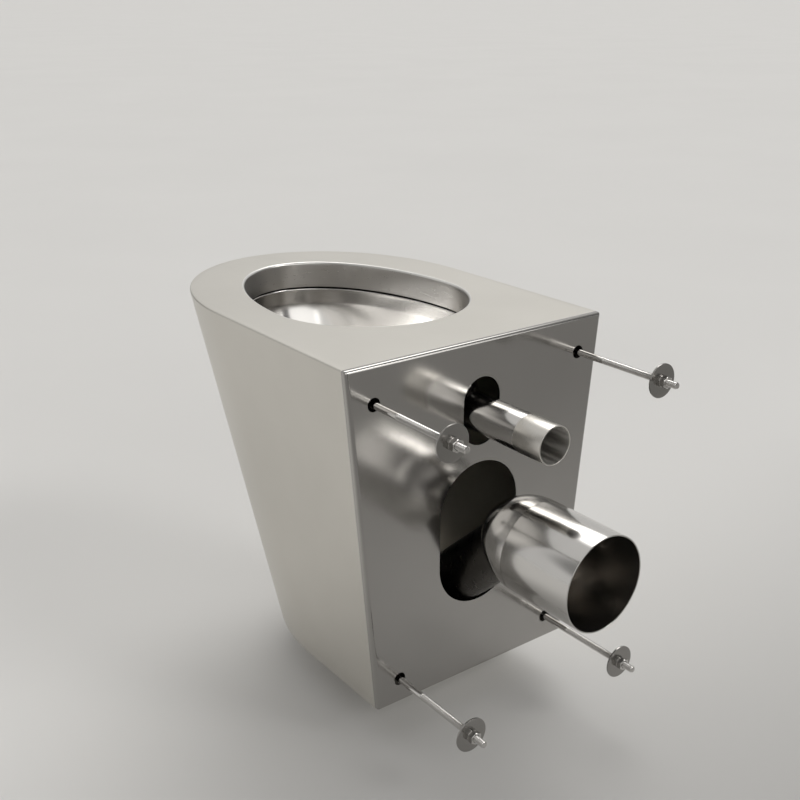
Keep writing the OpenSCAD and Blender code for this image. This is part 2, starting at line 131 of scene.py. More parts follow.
def linear(hex_colour):
    """An sRGB hex colour as linear red, green, blue and alpha."""
    parts = [int(hex_colour[i:i + 2], 16) / 255 for i in (1, 3, 5)]
    return [p / 12.92 if p <= 0.04045 else ((p + 0.055) / 1.055) ** 2.4 for p in parts] + [1.0]


def add(tree, kind, inputs=None, **settings):
    """Adds one node with its settings. Each of its sockets, given by name or number, takes a
    value or a link from a (node, output)."""
    made = tree.nodes.new(kind)
    for key, value in settings.items():
        setattr(made, key, value)
    for key, value in (inputs or {}).items():
        if isinstance(key, int):
            socket = made.inputs[key]
        else:
            socket = next(s for s in made.inputs if s.name == key and s.enabled)
        if isinstance(value, tuple) and isinstance(value[0], bpy.types.Node):
            out = next(s for s in value[0].outputs if s.name == value[1] and s.enabled)
            tree.links.new(out, socket)
        else:
            socket.default_value = value
    return made


def ground_steel(name, hexes, rough, line_scale, line_depth, blotch=0.02):
    """Stainless steel worked with an abrasive: fine parallel lines, and a cloudy tone between
    two colours.

    line_scale is the number of lines in a metre along x, y and z, so a low number is the way
    that the lines run. The lines are drawn coarser than grit leaves them, so that they show.
    line_depth is their depth in metres, and blotch is how far the roughness strays either way
    along them.
    """
    mat = bpy.data.materials.new(name)
    mat.use_nodes = True
    tree = mat.node_tree
    tree.nodes.clear()
    place = add(tree, "ShaderNodeTexCoord")
    lines_at = add(tree, "ShaderNodeMapping", {"Vector": (place, "Object"),
                                               "Scale": line_scale})
    lines = add(tree, "ShaderNodeTexNoise", {"Vector": (lines_at, "Vector"), "Scale": 1.0,
                                             "Detail": 3.0, "Roughness": 0.6})
    cloud = add(tree, "ShaderNodeTexNoise", {"Vector": (place, "Object"), "Scale": 9.0,
                                             "Detail": 2.0, "Roughness": 0.5})
    share = add(tree, "ShaderNodeMapRange", {"Value": (cloud, "Fac"), "From Min": 0.3,
                                             "From Max": 0.7})
    tone = add(tree, "ShaderNodeMix", {"Factor": (share, "Result"), "A": linear(hexes[0]),
                                       "B": linear(hexes[1])}, data_type="RGBA")
    lines_rough = add(tree, "ShaderNodeMapRange", {"Value": (lines, "Fac"), "From Min": 0.3,
                                                   "From Max": 0.7, "To Min": rough - blotch,
                                                   "To Max": rough + blotch})
    bump = add(tree, "ShaderNodeBump", {"Height": (lines, "Fac"), "Strength": 1.0,
                                        "Distance": line_depth})
    shader = add(tree, "ShaderNodeBsdfPrincipled", {
        "Base Color": (tone, "Result"), "Roughness": (lines_rough, "Result"), "Metallic": 1.0,
        "Normal": (bump, "Normal")})
    add(tree, "ShaderNodeOutputMaterial", {"Surface": (shader, "BSDF")})
    return mat


# Satin ground 1.4301 sheet: belt-ground and brushed, so that it is an even soft grey that
# blurs what it reflects; the belt's lines run level round the casing and from side to side on
# the deck, about 0.1 mm apart on the real sheet and 0.7 mm here
satin_sheet = ground_steel("satin_ground_stainless_sheet", ("#D1CEC7", "#D5D2CB"), 0.34,
                           (40, 40, 1500), 4e-6)
satin_deck = ground_steel("satin_ground_stainless_deck", ("#CAC7C0", "#CECBC4"), 0.34,
                          (40, 1500, 40), 4e-6)
# The back plate keeps the mill's bright annealed finish, which is glossier. Its colour is painted
# a
# little darker: painted shade for the dark surroundings that it mirrors
plate_sheet = ground_steel("bright_annealed_stainless_plate_painted_dark", ("#ABA9A6", "#AFADAA"), 0.15,
                           (700, 700, 50), 2e-6)
# The bowl is pressed, then polished with a mop, so that it mirrors softly. The collar is only
# ground with a flap wheel, and blurs what it mirrors. Its colour is painted paler than the deck's:
# painted light that brightens it where it stands in the mouth's shade
polished_pressing = ground_steel("mop_polished_stainless_pressing", ("#D6D4D1", "#DCDAD7"),
                                 0.16, (60, 60, 500), 3e-7)
satin_collar = ground_steel("flap_wheel_ground_stainless_collar_painted_pale", ("#DAD8D5", "#DFDDDA"),
                            0.3, (60, 60, 900), 6e-7, 0.03)
# Tubes: polished between centres, so that the lines run round them
polished_tube = ground_steel("polished_stainless_tube", ("#CFCDCA", "#D7D5D2"), 0.15,
                             (40, 900, 40), 1e-6)
# A bend is dressed by hand after it is drawn, which leaves it a little softer in its gloss and
# without lines that show
dressed_bend = ground_steel("hand_dressed_stainless_bend", ("#CFCDCA", "#D7D5D2"), 0.17,
                            (60, 60, 60), 0.0)
# The sleeve is turned to size, which leaves fine rings and a satin gloss
sized_sleeve = ground_steel("satin_turned_stainless_sleeve", ("#D4D1CB", "#D9D6D0"), 0.29,
                            (40, 1500, 40), 1e-6)
# The wide bore is as the tube mill drew it, smooth but duller than the outside, and its colour is
# painted darker: painted shade inside the pipe. The narrow one is pickled: pale and uneven, which
# spreads the light that gets in
drawn_bore = ground_steel("drawn_stainless_bore_painted_darker", ("#B3AFAA", "#BDB9B4"), 0.24,
                          (60, 40, 60), 1e-6, 0.03)
pickled_bore = ground_steel("pickled_stainless_bore", ("#DAD8D4", "#E0DEDA"), 0.52,
                            (140, 5, 140), 1e-6, 0.24)
# Fasteners: bright A2 stainless steel. The studs are drawn rod, the nuts and coils are stamped
# and a little softer in their gloss, and the washers are punched, their colour painted darker:
# painted shade for the dark surroundings that they mirror
drawn_stud = ground_steel("drawn_a2_stainless_rod", ("#C9C7C4", "#D1CFCC"), 0.1,
                          (300, 300, 300), 1e-6)
bright_fastener = ground_steel("bright_a2_stainless_fastener", ("#CDCBC8", "#D3D1CE"), 0.16,
                               (300, 300, 300), 1e-6, 0.03)
punched_washer = ground_steel("punched_stainless_washer_painted_dark", ("#979592", "#9F9D9A"), 0.18,
                              (300, 300, 300), 1e-6, 0.03)
# Inside, the sheet and tube are as the mill left them: dull. Their colour is painted dark, a
# painted shade for the casing's dark inside, and darkest on the trap's leg, which shows through
# the waste cut-out
mill_steel = ground_steel("mill_finish_stainless_sheet_painted_dark", ("#6A6865", "#7D7B78"), 0.42,
                          (200, 60, 200), 6e-6, 0.05)
dark_leg = ground_steel("stainless_tube_painted_dark", ("#53504C", "#5F5C58"), 0.3,
                        (60, 200, 60), 3e-6, 0.05)


# Meshes from arrays

def quads(rows, cols, closed):
    """Faces of a row of rings of points: each takes a point, the next one in its ring and the
    two above them. A closed row also joins its last ring to its first."""
    i = np.arange(rows if closed else rows - 1)[:, None]
    j = np.arange(cols)[None, :]
    up, on = (i + 1) % rows, (j + 1) % cols
    corners = [i * cols + j, i * cols + on, up * cols + on, up * cols + j]
    return np.stack(np.broadcast_arrays(*corners), -1).reshape(-1, 4)


def in_frame(points):
    """Points in millimetres and deck heights, as metres in the part's own frame."""
    return (np.asarray(points, float).reshape(-1, 3) + (0, 0, ORIGIN_DROP)) / 1000


def piece(name, points, faces, material, body, node, sharp):
    """Makes a piece from points in millimetres and deck heights, and dresses a node with it."""
    mesh = bpy.data.meshes.new(name)
    mesh.from_pydata(in_frame(points).tolist(), [], [list(map(int, f)) for f in faces])
    mesh.validate()
    mesh.shade_smooth()
    mesh.set_sharp_from_angle(angle=math.radians(sharp))
    mesh.materials.append(material)
    obj = bpy.data.objects.new(name, mesh)
    bpy.context.scene.collection.objects.link(obj)
    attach(obj, body)
    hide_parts(node)
    return obj


def inside_out(rings, sides):
    """Whether faces look inwards: the sum over their triangles of a corner's product with the
    cross product of the other two, all from the middle of the points, is then below nothing."""
    p = rings.reshape(-1, 3)
    a, b, c, d = (p[sides[:, k]] - p.mean(0) for k in range(4))
    volume = np.einsum("ij,ij->i", a, np.cross(b, c)).sum()
    volume += np.einsum("ij,ij->i", a, np.cross(c, d)).sum()
    return volume < 0


def shell(name, rings, material, node, body="pan", sharp=35.0):
    """Closed skin over a loop of closed rings, such as a pressing with two faces."""
    rings = np.asarray(rings, float)
    faces = quads(rings.shape[0], rings.shape[1], True)
    if inside_out(rings, faces):
        faces = faces[:, ::-1]
    return piece(name, rings, faces, material, body, node, sharp)


def capped(name, rings, material, node, body="pan", sharp=35.0):
    """Closed skin over a row of closed rings whose first and last ring are flat ends."""
    rings = np.asarray(rings, float)
    rows, cols = rings.shape[:2]
    sides = quads(rows, cols, False)
    faces = sides.tolist() + [list(range(cols))[::-1], list(range((rows - 1) * cols, rows * cols))]
    if inside_out(rings, sides):
        faces = [f[::-1] for f in faces]
    return piece(name, rings, faces, material, body, node, sharp)


def also(obj, material, chosen):
    """Gives a second material to the chosen faces."""
    obj.data.materials.append(material)
    obj.data.polygons.foreach_set("material_index", chosen.astype(np.int32))


def lined(obj, material, first, rows):
    """Gives a second material to the faces from one of a shell's rows on, such as its bore."""
    count = len(obj.data.polygons)
    also(obj, material, np.arange(count) // (count // rows) >= first)


def bored(obj, material, r, z):
    """Gives a second material to a level tube's bore: the faces within its inner radius."""
    centres = np.empty(len(obj.data.polygons) * 3)
    obj.data.polygons.foreach_get("center", centres)
    centres = centres.reshape(-1, 3) * 1000
    also(obj, material, np.hypot(centres[:, 0], centres[:, 2] - z - ORIGIN_DROP) < r + HAIR / 2)


def lathe(profile, x, z, steps, start=0.0, sweep=360.0):
    """Rings of a turned form whose axis runs along Y through x, z: each point (y, r) of the
    profile is carried round as (x + r cos b, y, z + r sin b)."""
    profile = np.asarray(profile, float)
    whole = abs(sweep - 360.0) < 1e-6
    b = np.radians(start + np.linspace(0, sweep, steps, endpoint=not whole))[:, None]
    y, r = profile[None, :, 0], profile[None, :, 1]
    return np.stack([x + r * np.cos(b), y + 0 * b, z + r * np.sin(b)], -1)


def rounded_tube(y0, y1, r, wall, round_r, joint=()):
    """Profile of a straight tube with a small round on each edge of its ends, as a closed loop
    of (y, r). The ends at which another tube is welded on, 0 or 1, stay square."""
    inner = r - wall
    corners = [(y0, r, 180, 90, 0), (y1, r, 90, 0, 1), (y1, inner, 0, -90, 1),
               (y0, inner, -90, -180, 0)]
    loop = []
    for y, edge, a0, a1, end in corners:
        c = HAIR if end in joint else round_r
        centre_y = y + c if end == 0 else y - c
        centre_r = edge - c if edge == r else edge + c
        a = np.radians(np.linspace(a0, a1, 5))
        loop.append(np.stack([centre_y + c * np.cos(a), centre_r + c * np.sin(a)], -1))
    return np.concatenate(loop)


# The body

def spans(z, inset):
    """Half width, run of the straight sides and reach of the nose of the body's outline at a
    height, drawn in by an inset: each is mixed linearly between foot and deck."""
    share = (z - FOOT_Z) / PAN_H
    half = (FOOT_W + (PAN_W - FOOT_W) * share) / 2 - inset
    side = FOOT_SIDE_RUN + (SIDE_RUN - FOOT_SIDE_RUN) * share
    nose = FOOT_NOSE_RUN + (NOSE_RUN - FOOT_NOSE_RUN) * share - inset
    return half, side, nose


def d_outline(z, wall):
    """The body's outline at a height, inside a wall: straight sides and a half-oval nose. It
    runs from the back plate's fold on the left round the nose to the fold on the right."""
    steps, side_steps = 120, 12
    half, side, nose = spans(z, wall)
    a = np.linspace(0, math.pi, steps)
    oval = np.stack([-half * np.cos(a), -side - nose * np.sin(a)], -1)
    run = np.linspace(-FOLD, -side, side_steps, endpoint=False)
    left = np.stack([np.full(side_steps, -half), run], -1)
    right = np.stack([np.full(side_steps, half), run[::-1]], -1)
    return np.concatenate([left, oval, right])


def at(outline, z):
    """A flat outline lifted to a height."""
    return np.column_stack([outline, np.full(len(outline), float(z))])


def casing():
    """Sheet wrapped in a U: its section is a loop from the foot's small round up the outer face
    and back down the inner face, carried along the outline."""
    rows = []
    for a in np.radians(np.linspace(-90, 0, 5)):
        z = FOOT_Z + FOOT_ROUND + FOOT_ROUND * math.sin(a)
        rows.append(at(d_outline(z, FOOT_ROUND * (1 - math.cos(a))), z))
    for z in np.linspace(FOOT_Z + FOOT_ROUND, -SHEET, 24)[1:]:
        rows.append(at(d_outline(z, 0), z))
    for z in np.linspace(-SHEET, FOOT_Z, 24):
        rows.append(at(d_outline(z, SHEET), z))
    capped("casing", np.stack(rows, 1), satin_sheet, "body_shell")


def egg(step, steps=192):
    """Outline of the mouth grown by a step: a round back and an oval nose."""
    a = np.linspace(0, 2 * math.pi, steps, endpoint=False)
    half = MOUTH_W / 2 + step
    reach = np.where(np.sin(a) > 0, half, MOUTH_NOSE + step)
    return np.stack([half * np.cos(a), MOUTH_MID + reach * np.sin(a)], -1)


def deck():
    """Flat deck: rings mixed from the mouth's outline to the body's, which is cut by rays from
    the mouth's middle so that the two keep step, then a quarter round down the outer edge. The
    points nearest to the two corners at the wall are put on them."""
    mouth = egg(LIP_R, 384)
    ray = np.arctan2(mouth[:, 1] - MOUTH_MID, mouth[:, 0])

    def rim(inset, z, back=FOLD):
        """The body's outline at a height, drawn in by an inset, and cut off at its back."""
        half, side, nose = spans(z, inset)
        c, s = np.cos(ray), np.sin(ray)
        # Distance along each ray to the wall line, the straight sides and the half-oval nose
        to_back = np.where(s > 1e-9, (-back - MOUTH_MID) / np.maximum(s, 1e-9), np.inf)
        to_side = half / np.maximum(np.abs(c), 1e-9)
        drop = -side - MOUTH_MID
        qa = (c / half) ** 2 + (s / nose) ** 2
        qb = -2 * drop * s / nose ** 2
        qc = (drop / nose) ** 2 - 1
        to_nose = (-qb + np.sqrt(np.maximum(qb ** 2 - 4 * qa * qc, 0))) / (2 * qa)
        straight = np.minimum(to_back, to_side)
        on_nose = MOUTH_MID + to_nose * s < -side
        reach = np.where(on_nose, to_nose, straight)
        points = np.stack([c * reach, MOUTH_MID + s * reach, np.full(len(ray), z)], -1)
        for x in (half, -half):
            corner = np.argmin(np.abs(ray - math.atan2(-back - MOUTH_MID, x)))
            points[corner, :2] = x, -back
        return points

    rings = []
    flat = rim(SHEET, 0.0)
    top_mouth = at(mouth, 0)
    for share in np.linspace(0, 1, 9):
        rings.append(top_mouth + (flat - top_mouth) * share)
    for a in np.radians(np.linspace(0, 90, 7))[1:]:
        rings.append(rim(SHEET * (1 - math.sin(a)), -SHEET * (1 - math.cos(a))))
    under = rim(SHEET + DECK_TUCK, -SHEET, FOLD + DECK_TUCK)
    low_mouth = at(mouth, -SHEET)
    for share in np.linspace(1, 0, 9):
        rings.append(low_mouth + (under - low_mouth) * share)
    shell("deck", rings, satin_deck, "top_deck")


def collar():
    """Collar pressed down round the mouth: a quarter round at the deck, a straight band with a
    small round at its lower edge, and the same back up behind."""
    rings = []
    r = COLLAR_ROUND
    for a in np.radians(np.linspace(0, 90, 9)):
        rings.append(at(egg(LIP_R * (1 - math.sin(a))), -LIP_R * (1 - math.cos(a))))
    for z in np.linspace(-LIP_R, -COLLAR_DROP + r, 8)[1:]:
        rings.append(at(egg(0), z))
    for a in np.radians(np.linspace(0, 90, 4))[1:]:
        rings.append(at(egg(r * (1 - math.cos(a))), -COLLAR_DROP + r * (1 - math.sin(a))))
    for a in np.radians(np.linspace(0, 90, 4)):
        rings.append(at(egg(PRESS - r * (1 - math.sin(a))),
                        -COLLAR_DROP + r * (1 - math.cos(a))))
    rear_r = LIP_R - PRESS
    for a in np.radians(np.linspace(90, 0, 7)):
        rings.append(at(egg(LIP_R - rear_r * math.sin(a)), -LIP_R + rear_r * math.cos(a)))
    shell("collar", rings, satin_collar, "rim_collar")


def bowl():
    """Pressed dish: a flange, a small round at its lip, a side whose curve mixes the egg outline
    with the round throat by powers of cosine and sine, and a round into the throat. The same
    outlines, grown by the sheet's thickness, lead back up behind."""
    rings = []
    count = 192
    a = np.linspace(0, 2 * math.pi, count, endpoint=False)
    throat_r = TRAP_R - TRAP_WALL
    side_foot = BOWL_FOOT + BOWL_FOOT_R
    # The side's curve stops just short of level, where the round into the throat takes over
    side_turns = np.linspace(0, math.radians(88.5), 72)

    def side(turn, step):
        """Ring of the side at a turn of its curve, from upright at 0 to level at 90 degrees."""
        w, d = math.cos(turn) ** (2 / BOWL_CURVE), math.sin(turn) ** (2 / BOWL_CURVE)
        rim = egg(BOWL_STEP + step, count)
        low = np.stack([(throat_r + BOWL_FOOT_R + step) * np.cos(a),
                        THROAT_Y + (throat_r + BOWL_FOOT_R + step) * np.sin(a)], -1)
        top = BOWL_TOP - BOWL_SKIRT
        return at(low + (rim - low) * w, top + (side_foot - top) * d - step * d)

    def throat_ring(r, z):
        return at(np.stack([r * np.cos(a), THROAT_Y + r * np.sin(a)], -1), z)

    rings.append(at(egg(BOWL_STEP + CHANNEL_W), BOWL_TOP))
    rings.append(at(egg(BOWL_STEP + BOWL_LIP_R + FLANGE_FLAT), BOWL_TOP))
    for t in np.radians(np.linspace(0, 90, 7)):
        rings.append(at(egg(BOWL_STEP + BOWL_LIP_R * (1 - math.sin(t))),
                        BOWL_TOP - BOWL_LIP_R * (1 - math.cos(t))))
    for z in np.linspace(BOWL_TOP - BOWL_LIP_R, BOWL_TOP - BOWL_SKIRT, 5)[1:-1]:
        rings.append(at(egg(BOWL_STEP), z))
    for t in side_turns:
        rings.append(side(t, 0.0))
    for t in np.radians(np.linspace(0, 90, 7)):
        rings.append(throat_ring(throat_r + BOWL_FOOT_R * (1 - math.sin(t)),
                                 BOWL_FOOT + BOWL_FOOT_R * math.cos(t)))
    for r in (throat_r, TRAP_R):
        rings.append(throat_ring(r, BOWL_FOOT - PRESS))
    for t in side_turns[::-1]:
        rings.append(side(t, PRESS))
    rings.append(at(egg(BOWL_STEP + PRESS), BOWL_TOP - PRESS))
    rings.append(at(egg(BOWL_STEP + CHANNEL_W), BOWL_TOP - PRESS))
    shell("bowl_pressing", rings, polished_pressing, "bowl", sharp=40)


def back_plate():
    """Shallow tray with a rounded edge and corners: outlines drawn in along a quarter circle on
    the outside and on the inside, with the cut-outs and stud holes taken out of it."""

    def ring(inset, y):
        """Trapezium of the body's outline drawn in, each corner rounded by an arc."""
        r, lean = CORNER_R, math.degrees(LEAN)
        top, low = -inset, FOOT_Z + inset
        wide = PAN_W / 2 - inset / math.cos(LEAN)
        drop = math.tan(LEAN)
        half_top, half_low = wide - inset * drop, wide - (PAN_H - inset) * drop
        reach = r * (1 + math.sin(LEAN)) / math.cos(LEAN)
        reach_low = r * (1 - math.sin(LEAN)) / math.cos(LEAN)
        # Centres of the corner arcs, and the angles between which each turns
        arcs = [(half_top - reach, top - r, -lean, 90),
                (-half_top + reach, top - r, 90, 180 + lean),
                (-half_low + reach_low, low + r, 180 + lean, 270),
                (half_low - reach_low, low + r, 270, 360 - lean)]
        loop = []
        for x, z, a0, a1 in arcs:
            a = np.radians(np.linspace(a0, a1, 7))
            loop.append(np.stack([x + r * np.cos(a), np.full(len(a), y),
                                  z + r * np.sin(a)], -1))
        return np.concatenate(loop)

    def face(wall):
        """Rings of the tray's face inside a wall, from the fold's edge to the flat's edge."""
        r = EDGE_R - wall
        out = [ring(wall, -FOLD)]
        for a in np.radians(np.linspace(0, 90, 9)):
            out.append(ring(wall + r * (1 - math.cos(a)), -EDGE_R + r * math.sin(a)))
        out.append(ring(EDGE_R + EDGE_FLAT, -wall))
        return out

    plate = capped("back_plate_pressing", face(SHEET)[::-1] + face(0.0), plate_sheet,
                   "back_plate")
    b = np.linspace(0, 2 * math.pi, 48, endpoint=False)
    cut_out(plate, [slot_outline(FLUSH_SLOT_W, FLUSH_SLOT_H, FLUSH_SLOT_DROP),
                    slot_outline(WASTE_SLOT_W, WASTE_SLOT_H, WASTE_SLOT_DROP)]
            + [np.stack([x + STUD_HOLE_R * np.cos(b), z + STUD_HOLE_R * np.sin(b)], -1)
               for x, z in STUDS.values()])


def slot_outline(width, height, drop):
    """Upright slot with round ends: two half circles joined by straight sides."""
    r = width / 2
    rise = height / 2 - r
    b = np.linspace(0, math.pi, 40)
    head = np.stack([r * np.cos(b), -drop + rise + r * np.sin(b)], -1)
    foot = np.stack([-r * np.cos(b), -drop - rise - r * np.sin(b)], -1)
    return np.concatenate([head, foot])


def cut_out(obj, outlines):
    """Takes a prism with each outline in x and z out of the plate, and shades what is left."""
    beyond = 3.0
    cutters = []
    for outline in outlines:
        n = len(outline)
        rings = np.stack([np.column_stack([outline[:, 0], np.full(n, y), outline[:, 1]])
                          for y in (-FOLD - beyond, beyond)])
        faces = quads(2, n, False)[:, ::-1].tolist()
        faces += [list(range(n)), list(range(n, 2 * n))[::-1]]
        mesh = bpy.data.meshes.new("cutter")
        mesh.from_pydata(in_frame(rings).tolist(), [], faces)
        cutter = bpy.data.objects.new("cutter", mesh)
        bpy.context.scene.collection.objects.link(cutter)
        cutters.append(cutter)
        mod = obj.modifiers.new("cut", "BOOLEAN")
        mod.operation, mod.solver, mod.object = "DIFFERENCE", "EXACT", cutter
    graph = bpy.context.evaluated_depsgraph_get()
    mesh = bpy.data.meshes.new_from_object(obj.evaluated_get(graph))
    obj.modifiers.clear()
    obj.data = mesh
    mesh.shade_smooth()
    mesh.set_sharp_from_angle(angle=math.radians(30))
    for cutter in cutters:
        bpy.data.objects.remove(cutter)


# Pipes and trap

def level_pipe(name, span, r, wall, z, edge, joint, steps, material, node, bore):
    """Level pipe turned from its wall's profile, its bore in a material of its own."""
    rings = lathe(rounded_tube(*span, r, wall, edge, joint), 0, z, steps)
    bored(shell(name, rings, material, node), bore, r - wall, z)


def straight_pipes():
    """The waste pipe from its seam out, and the flush pipe with the sleeve on its end."""
    level_pipe("waste_pipe_tube", (SEAM_OUT, WASTE_REACH), WASTE_D / 2, WASTE_WALL,
               -WASTE_DROP, WASTE_ROUND, (0,), 128, polished_tube,
               "waste_pipe", drawn_bore)
    sleeve_start = FLUSH_REACH - SLEEVE_LEN
    level_pipe("flush_pipe_tube", (RISER_Y + FLUSH_BEND_R, sleeve_start), PIPE_R, FLUSH_WALL,
               -FLUSH_DROP, PIPE_ROUND, (0,), 96, polished_tube,
               "flush_pipe", pickled_bore)
    level_pipe("flush_sleeve_tube", (sleeve_start, FLUSH_REACH), FLUSH_D / 2, FLUSH_WALL,
               -FLUSH_DROP, SLEEVE_ROUND, (), 96, sized_sleeve,
               "flush_sleeve", pickled_bore)


def round_ring(y, z, tilt, r, steps):
    """Circle whose axis leans by a tilt from +Y down: (r cos b, y - r sin b sin tilt,
    z + r sin b cos tilt)."""
    b = np.linspace(0, 2 * math.pi, steps, endpoint=False)
    return np.stack([r * np.cos(b), y - r * np.sin(b) * math.sin(tilt),
                     z + r * np.sin(b) * math.cos(tilt)], -1)


def walled(stations, wall, steps):
    """Rings of a tube along stations (y, z, tilt, r), out along its skin and back inside."""
    out = [round_ring(y, z, t, r, steps) for y, z, t, r in stations]
    back = [round_ring(y, z, t, r - wall, steps) for y, z, t, r in stations[::-1]]
    return out + back


def waste_bend():
    """Bend behind the waste pipe's seam: its tilt grows with the turn while its radius narrows
    by a power of the turn's share, and a slit marks the weld."""
    wide = WASTE_D / 2
    stations = [(SEAM_OUT, -WASTE_DROP, 0.0, wide - WELD_SLIT),
                (SEAM_OUT - WELD_SLIT, -WASTE_DROP, 0.0, wide - WELD_SLIT),
                (SEAM_OUT - WELD_SLIT - HAIR, -WASTE_DROP, 0.0, wide)]
    for share in np.linspace(0, 1, 49):
        a = LEG_SLOPE * share
        stations.append((TURN_OUT - TURN_R * math.sin(a),
                         -WASTE_DROP - TURN_R * (1 - math.cos(a)), a,
                         wide + (TRAP_R - wide) * share ** BEND_POWER))
    bend = shell("waste_bend_tube", walled(stations, WASTE_WALL, 128), dressed_bend,
                 "waste_bend")
    lined(bend, drawn_bore, len(stations), 2 * len(stations))


def trap():
    """Rising leg, bottom bend and throat: one tube's centre line in three pieces, straight down
    the slope, round the hub from the slope to upright, and straight up to the bowl."""
    leg = [(TURN_END[0] - s * math.cos(LEG_SLOPE), TURN_END[1] - s * math.sin(LEG_SLOPE),
            LEG_SLOPE, TRAP_R) for s in np.linspace(0, LEG_LEN, 12)]
    shell("trap_leg_tube", walled(leg, TRAP_WALL, 96), dark_leg, "trap_leg")
    bend = [(TRAP_HUB[0] + TRAP_BEND_R * math.sin(a), TRAP_HUB[1] - TRAP_BEND_R * math.cos(a),
             a, TRAP_R) for a in np.radians(np.linspace(LEG_DEGREES, -90.0, 45))]
    shell("trap_bend_tube", walled(bend, TRAP_WALL, 96), mill_steel,
          "trap_bend")
    throat = [(THROAT_Y, z, -math.pi / 2, TRAP_R) for z in (TRAP_HUB[1], BOWL_FOOT - PRESS)]
    shell("throat_tube", walled(throat, TRAP_WALL, 96), polished_pressing,
          "throat")


def flush_elbow():
    """Quarter bend from the level flush pipe up to the riser, and the riser."""
    heel_z = -FLUSH_DROP + FLUSH_BEND_R
    stations = [(RISER_Y + FLUSH_BEND_R * (1 - math.sin(a)),
                 heel_z - FLUSH_BEND_R * math.cos(a), -a, PIPE_R)
                for a in np.radians(np.linspace(0, 90, 25))]
    stations.append((RISER_Y, BOWL_TOP, -math.pi / 2, PIPE_R))
    shell("flush_bend_tube", walled(stations, FLUSH_WALL, 64), polished_tube,
          "flush_bend")


# Fasteners

def thread_rings(x, z):
    """Rod with an M8 thread on its outer part: from the stud's radius a trapezium wave of the
    phase y / pitch - b / 2 pi is taken away, b being the angle round the rod. The thread fades
    in over two pitches, and both ends of the rod are chamfered."""
    per_pitch, steps = 12, 24
    # The wave's flanks are steeper than a triangle's by the gain, so that crest and root are flat
    gain, shift = 1.45, 0.225
    rows = np.concatenate([np.linspace(STUD_START + TIP_CUT, THREAD_START, 6)[:-1],
                           np.arange(THREAD_START, STUD_REACH - TIP_CUT,
                                     THREAD_PITCH / per_pitch)])
    b = np.linspace(0, 2 * math.pi, steps, endpoint=False)
    phase = (rows[:, None] / THREAD_PITCH - b[None, :] / (2 * math.pi)) % 1.0
    wave = np.clip(np.abs(phase - 0.5) * 2 * gain - shift, 0, 1)
    fade = np.clip((rows - THREAD_START) / (2 * THREAD_PITCH), 0, 1)[:, None]
    r = STUD_R - THREAD_PLAY - THREAD_DEPTH * wave * fade
    end = np.full((1, steps), STUD_R - TIP_CUT)
    r = np.concatenate([end, r, end])
    y = np.concatenate([[STUD_START], rows, [STUD_REACH]])
    return np.stack([x + r * np.cos(b), y[:, None] + 0 * r, z + r * np.sin(b)], -1)


def nut_rings(x, z, y0):
    """Hexagon nut: each ring's radius is the lesser of the hexagon's, half the flats over the
    cosine of the angle off a flat, and a 30 degree cone at both ends; then the bore back."""
    steps, cone_slope = 96, math.tan(math.radians(30))
    half, bore = NUT_FLATS / 2, STUD_R + THREAD_GAP
    b = np.linspace(0, 2 * math.pi, steps, endpoint=False)
    off = (np.degrees(b) + 30) % 60 - 30
    hexagon = half / np.cos(np.radians(off))
    face_r = half * 0.95
    depth = (half / math.cos(math.radians(30)) - face_r) * cone_slope
    rings = []
    for h in (*np.linspace(0, depth, 9), *np.linspace(NUT_T - depth, NUT_T, 9)):
        rings.append((h, np.minimum(hexagon, face_r + min(h, NUT_T - h) / cone_slope)))
    for h, r in ((NUT_T, bore + BORE_CUT), (NUT_T - BORE_CUT, bore), (BORE_CUT, bore),
                 (0.0, bore + BORE_CUT)):
        rings.append((h, np.full(steps, r)))
    return [np.stack([x + r * np.cos(b), np.full(steps, y0 + h), z + r * np.sin(b)], -1)
            for h, r in rings]


def fasteners():
    """The four studs with, on each, a large washer, a split spring washer and a nut."""
    hole = STUD_R + WASHER_GAP
    coil_y = WASHER_OUT + WASHER_T
    gap = math.degrees(SPRING_CUT / (SPRING_R + hole))
    for place, (x, z) in STUDS.items():
        anchor = "anchor_set_" + place
        capped("stud_rod_" + place, thread_rings(x, z), drawn_stud,
               "stud_" + place, sharp=50)
        disc = lathe(rounded_tube(WASHER_OUT, coil_y, WASHER_R, WASHER_R - hole, DISC_ROUND),
                     x, z, 96)
        shell("washer_disc_" + place, disc, punched_washer,
              "washer_" + place, anchor)
        coil = lathe(rounded_tube(coil_y, coil_y + SPRING_T, SPRING_R, SPRING_R - hole,
                                  COIL_ROUND), x, z, 60, 90 + gap, 360 - 2 * gap)
        capped("spring_washer_coil_" + place, coil, bright_fastener,
               "spring_washer_" + place, anchor)
        shell("nut_hexagon_" + place, nut_rings(x, z, coil_y + SPRING_T), bright_fastener,
              "nut_" + place, anchor, sharp=28)


place_camera()
casing()
deck()
collar()
bowl()
back_plate()
straight_pipes()
waste_bend()
trap()
flush_elbow()
fasteners()

# The nodes that keep their own solids: the base and what stands unseen behind the plate
for node_name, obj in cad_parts.items():
    obj.data.materials.clear()
    obj.data.materials.append(satin_sheet if node_name == "base_plate" else mill_steel)


# Floor and world

# The floor's height and half its width, and the two places in y between which a painted shade
# turns it greyer on the wall's side, standing in for light that falls off there, all in metres
FLOOR_Z, FLOOR_HALF, FLOOR_TURN = -0.345, 150.0, (-0.4, 0.9)
# The surroundings' strength on the nose's side and on the wall's side, and the two values of the
# direction's y between which one passes into the other
SHADE, SHADE_TURN = (0.66, 0.16), (-0.2, 0.5)
# The same for the haze at the horizon, and the direction's z between which it clears
HAZE, HAZE_TURN, HAZE_CLEARS = (0.66, 0.33), (-0.4, 0.4), (0.06, 0.14)
